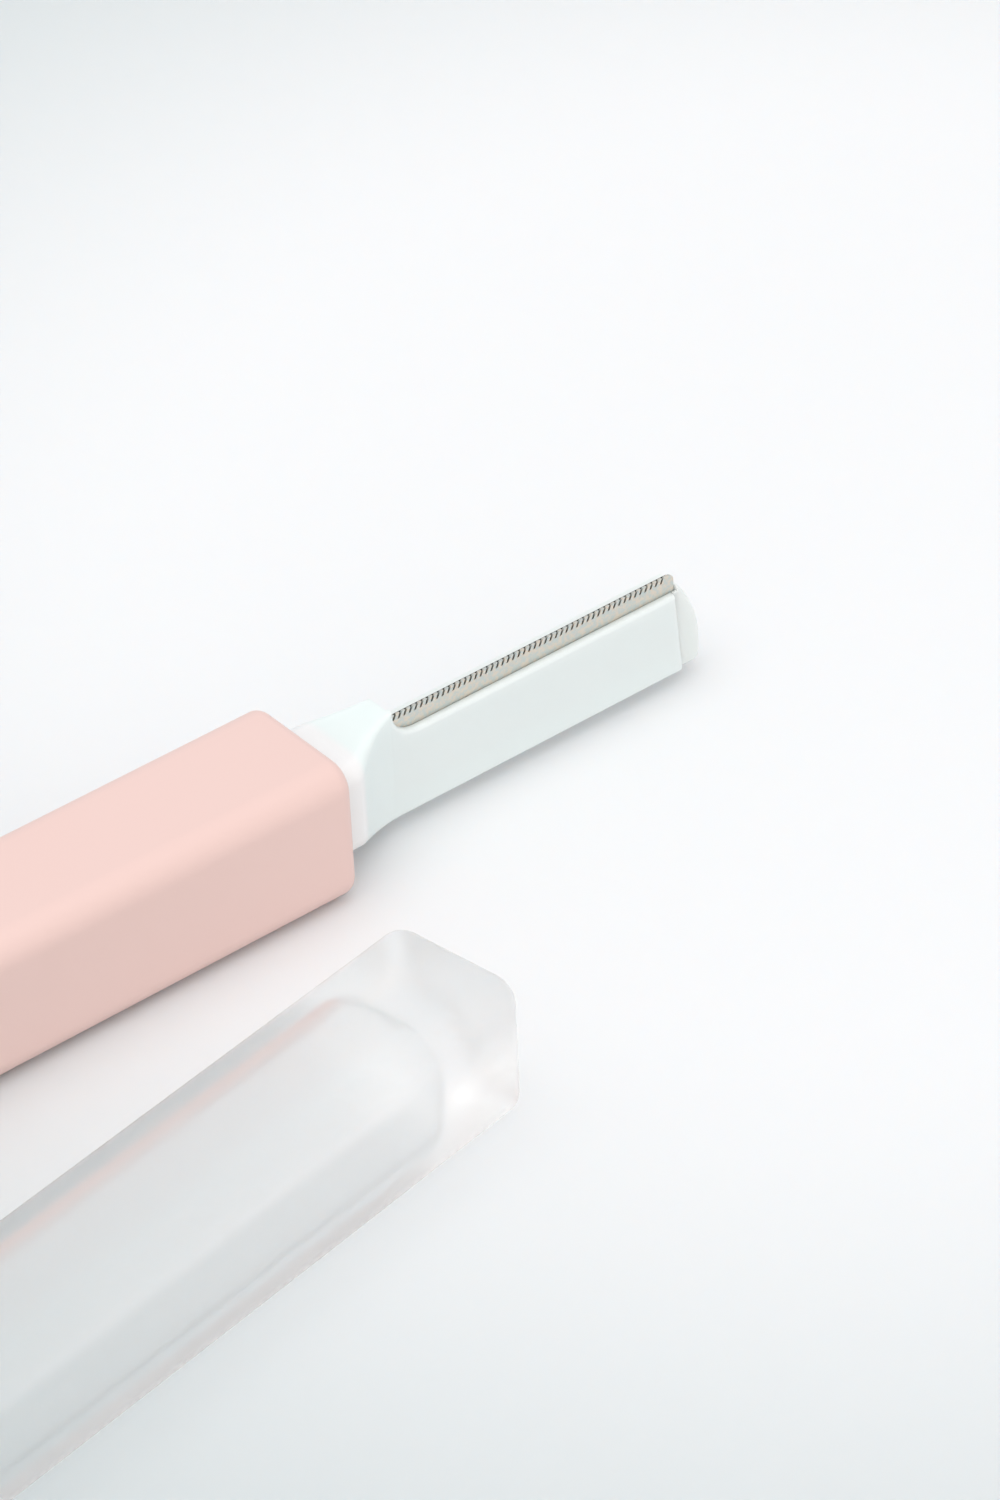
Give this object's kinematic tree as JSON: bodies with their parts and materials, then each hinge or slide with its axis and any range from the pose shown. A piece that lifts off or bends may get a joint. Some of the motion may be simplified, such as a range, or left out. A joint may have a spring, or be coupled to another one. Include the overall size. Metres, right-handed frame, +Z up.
{
  "type": "facial razor with cap",
  "caption": "Straight facial and eyebrow razor: square pink handle, thin white head with a comb-guarded blade, and a clear square cap lying beside it.",
  "frame": {"origin": "middle of the handle's flat underside, which lies on the surface", "axes": "+X along the handle towards the blade end, +Y away from the cap, +Z up towards the guarded edge"},
  "size_m": [0.1273, 0.0494, 0.012],
  "materials": {
    "handle": "satin salmon pink",
    "blade_holder": "satin cool white",
    "edge_guard": "fine grain",
    "blade": "ground",
    "back_cover": "satin cool white",
    "cap": "clear moulded plastic"
  },
  "bodies": {
    "razor": {"handle": "handle", "blade_holder": "blade_holder", "edge_guard": "edge_guard", "blade": "blade", "back_cover": "back_cover"},
    "cap": {"cap": "cap"}
  },
  "joints": [
    {"name": "cap_lift", "type": "slide", "parent": "razor", "child": "cap", "axis": [0, 0, 1], "range_m": [0, 0.04]}
  ]
}
